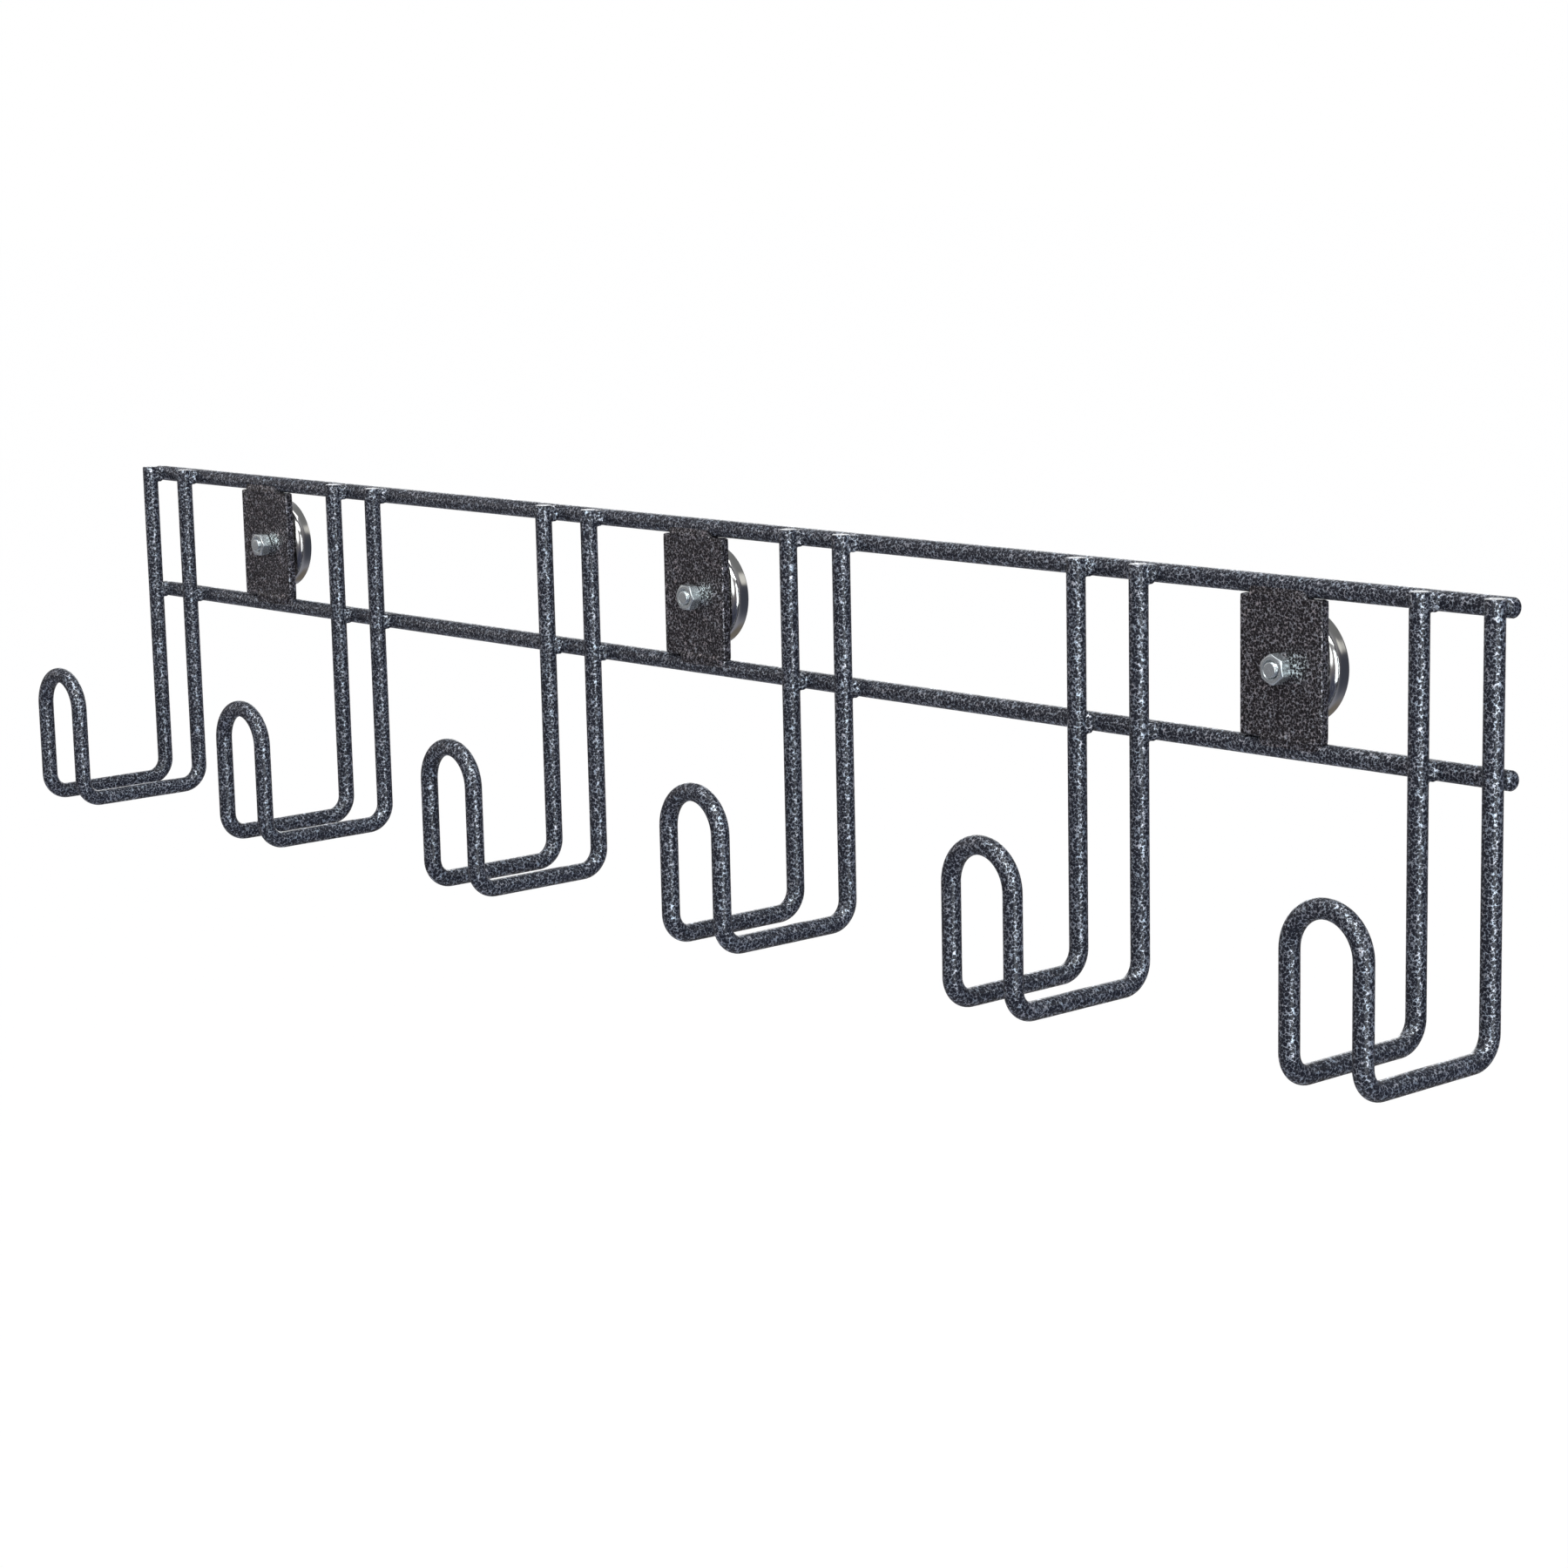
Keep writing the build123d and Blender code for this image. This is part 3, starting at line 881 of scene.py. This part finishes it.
for station, x in STATIONS.items():
    cup = lathe(cup_profile(), x, count=128)
    piece("pot_cup_" + station, cup, NICKEL, "magnet_cup_" + station, sharp=50)
    ring = lathe(ferrite_profile(), x, count=96)
    piece("ferrite_ring_" + station, ring, FERRITE, "magnet_ring_" + station, sharp=50)
    piece("screw_" + station, bolt(x), ZINC, "bolt_" + station, sharp=42)
    hexagon = nut(x, NUT_TURN[station])
    piece("hex_nut_" + station, hexagon, ZINC, "nut_" + station, sharp=24)

# every closed skin faces outwards
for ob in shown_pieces():
    if "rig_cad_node" in ob:
        continue
    bm = bmesh.new()
    bm.from_mesh(ob.data)
    bmesh.ops.recalc_face_normals(bm, faces=bm.faces)
    bm.to_mesh(ob.data)
    bm.free()


# ---- floor, metres ------------------------------------------------------------------------
def add_floor(half, z):
    data = bpy.data.meshes.new("floor")
    corners = [(-half, -half, z), (half, -half, z), (half, half, z), (-half, half, z)]
    data.from_pydata(corners, [], [(0, 1, 2, 3)])
    data.materials.append(pale_paper("pale_floor"))
    floor = bpy.data.objects.new("floor", data)
    bpy.context.scene.collection.objects.link(floor)
    floor.visible_glossy = False


add_floor(half=30.0, z=-0.62)

# ---- world --------------------------------------------------------------------------------
# patches of the room: direction, degrees to the full and to the faded edge, strength, colour
SKY_PATCHES = (
    ((0.74, 0.65, -0.17), 12, 50, 0.92, (0.06, 0.070, 0.10, 1)),  # dark, back right
    ((0.16, 0.65, 0.74), 12, 42, 0.7, (0.20, 0.21, 0.21, 1)),  # grey, high at the back
    ((0.61, 0.65, 0.42), 5, 13, 1, (1.1, 1.1, 1.05, 1)),  # small and bright, back right
    ((0.45, -0.60, -0.66), 14, 42, 0.9, (0.05, 0.06, 0.11, 1)),  # dark, low front right
    ((-0.15, 0.62, -0.77), 8, 30, 0.8, (0.20, 0.17, 0.12, 1)),  # brown, low at the back
    ((-0.20, -0.95, -0.22), 8, 30, 0.85, (0.06, 0.07, 0.09, 1)),  # dark, in front
    ((-0.84, -0.53, -0.10), 8, 38, 0.7, (0.13, 0.125, 0.13, 1)),  # grey, front left
    ((0.34, -0.90, 0.25), 13, 19, 1, (2.5, 2.6, 2.65, 1)),  # soft box, front right
    ((-0.72, 0.67, 0.17), 12, 24, 1, (3.0, 3.05, 3.1, 1)),  # window, back left
)


def studio_world():
    """White to the camera, a tinted wash to matt surfaces, a graded room to the rest."""
    world = bpy.data.worlds.new("studio")
    bpy.context.scene.world = world
    t = Tree(world, "ShaderNodeOutputWorld")
    direction = t.add("ShaderNodeTexCoord").outputs["Generated"]
    axes = t.add("ShaderNodeSeparateXYZ", {0: direction}).outputs

    below, level, above = (0.36, 0.37, 0.43, 1), (0.27, 0.25, 0.26, 1), (0.46, 0.47, 0.50, 1)
    sky = t.mix(t.ramp(axes["Z"], start=-0.75, end=0.0), below, level)
    sky = t.mix(t.ramp(axes["Z"], start=0.1, end=0.9), sky, above)
    for toward, full, faded, strength, colour in SKY_PATCHES:
        cosine = t.vmath("DOT_PRODUCT", direction, tuple(Vector(toward).normalized()))
        start, end = math.cos(math.radians(faded)), math.cos(math.radians(full))
        factor = t.ramp(cosine, start, end)
        if strength < 1:
            factor = t.math("MULTIPLY", factor, strength)
        sky = t.mix(factor, sky, colour)
    room = t.add("ShaderNodeBackground", {0: sky})

    # matt surfaces see a warm room on the left and a cool one on the right
    rays = t.add("ShaderNodeLightPath").outputs
    warm, cool = (1.04, 0.93, 0.91, 1), (0.66, 0.82, 1.45, 1)
    wash = t.mix(t.ramp(axes["X"], start=-0.4, end=0.9), warm, cool)
    plain = t.mix(rays["Is Camera Ray"], wash, (1, 1, 1, 1))
    plain = t.add("ShaderNodeBackground", {0: plain})
    pick = t.math("MAXIMUM", rays["Is Camera Ray"], rays["Is Diffuse Ray"])
    t.finish(t.add("ShaderNodeMixShader", {0: pick, 1: room, 2: plain}))


studio_world()


# ---- lights and camera, metres and degrees ------------------------------------------------
def polar(azimuth, elevation, distance):
    """Azimuth 0 is straight in front of the rack and 90 its right-hand side."""
    a, e = math.radians(azimuth), math.radians(elevation)
    return (
        distance * math.sin(a) * math.cos(e),
        -distance * math.cos(a) * math.cos(e),
        distance * math.sin(e),
    )


# name, place, target, width, height, power in watts, colour
LIGHTS = (
    ("key", polar(73, 0, 2.6), (0, 0, -0.03), 1.5, 2.0, 44, (0.91, 0.98, 1.03)),
    ("top", (0.2, -0.3, 2.4), (0, 0, 0), 2.2, 1.6, 34, (0.96, 0.98, 1.0)),
    ("upper", polar(50, 43, 2.6), (0, 0, -0.05), 2.2, 0.9, 46, (0.95, 1.0, 1.0)),
    ("left", polar(-60, 12, 2.8), (0, 0, 0), 1.6, 1.4, 4, (1.0, 0.95, 0.92)),
)
for name, place, target, width, height, power, colour in LIGHTS:
    light = bpy.data.lights.new(name, "AREA")
    light.shape = "RECTANGLE"
    light.size = width
    light.size_y = height
    light.energy = power
    light.color = colour
    ob = bpy.data.objects.new(name, light)
    bpy.context.scene.collection.objects.link(ob)
    ob.location = place
    ob.rotation_euler = (Vector(target) - Vector(place)).to_track_quat("-Z", "Y").to_euler()


def add_camera(place, azimuth, elevation, roll, lens):
    """Camera at place, looking back along the direction of azimuth and elevation."""
    backward = Vector(polar(azimuth, elevation, 1.0))
    right = (-backward).cross(Vector((0, 0, 1))).normalized()
    up = right.cross(-backward)
    cosine, sine = math.cos(math.radians(roll)), math.sin(math.radians(roll))
    rolled_right = right * cosine + up * sine
    rolled_up = -right * sine + up * cosine
    data = bpy.data.cameras.new("camera")
    data.sensor_width = 36.0
    data.lens = lens
    data.clip_start = 0.05
    data.clip_end = 100
    camera = bpy.data.objects.new("camera", data)
    bpy.context.scene.collection.objects.link(camera)
    matrix = Matrix((rolled_right, rolled_up, backward)).transposed().to_4x4()
    matrix.translation = Vector(place)
    camera.matrix_world = matrix
    bpy.context.scene.camera = camera


add_camera(
    place=(1.27385, -1.08300, 0.20863),
    azimuth=48.605,
    elevation=10.160,
    roll=-1.283,
    lens=82.82,
)

view = bpy.context.scene.view_settings
view.view_transform = "Standard"
view.look = "None"
view.exposure = 0.0
